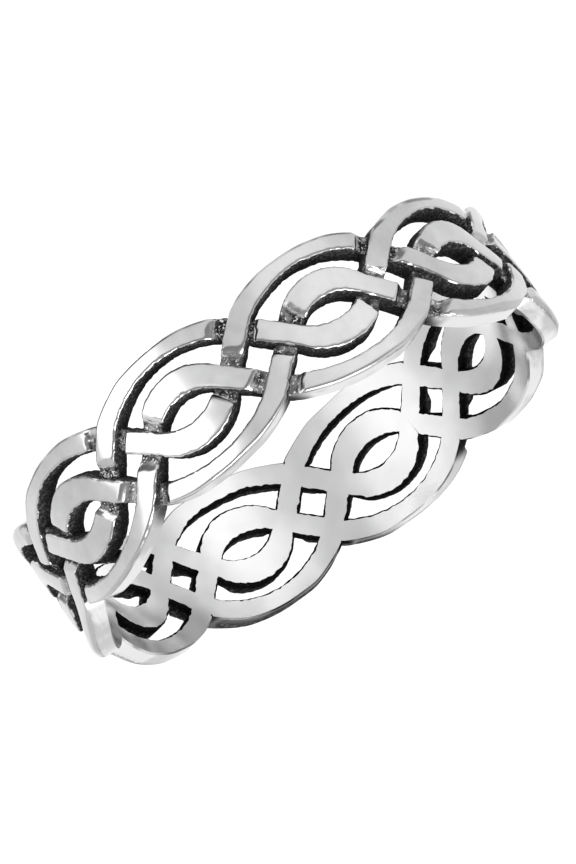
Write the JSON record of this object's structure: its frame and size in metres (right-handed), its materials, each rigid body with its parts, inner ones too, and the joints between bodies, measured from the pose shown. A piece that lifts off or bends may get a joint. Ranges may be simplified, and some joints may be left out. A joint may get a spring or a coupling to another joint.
{
  "type": "celtic knot ring",
  "caption": "Pierced finger ring of four interlaced strands, with eye, square and crescent openings between them, dips where a strand passes under, and scalloped rims.",
  "frame": {"origin": "on the ring's axis, in the plane that the lower rim rests on", "axes": "+Z along the ring's axis, up from the surface the ring lies on; +X through the middle of a square hole"},
  "size_m": [0.0198, 0.0198, 0.0052],
  "materials": {
    "silver": "polished"
  },
  "bodies": {
    "root": {"knot_band": "silver"}
  },
  "joints": []
}
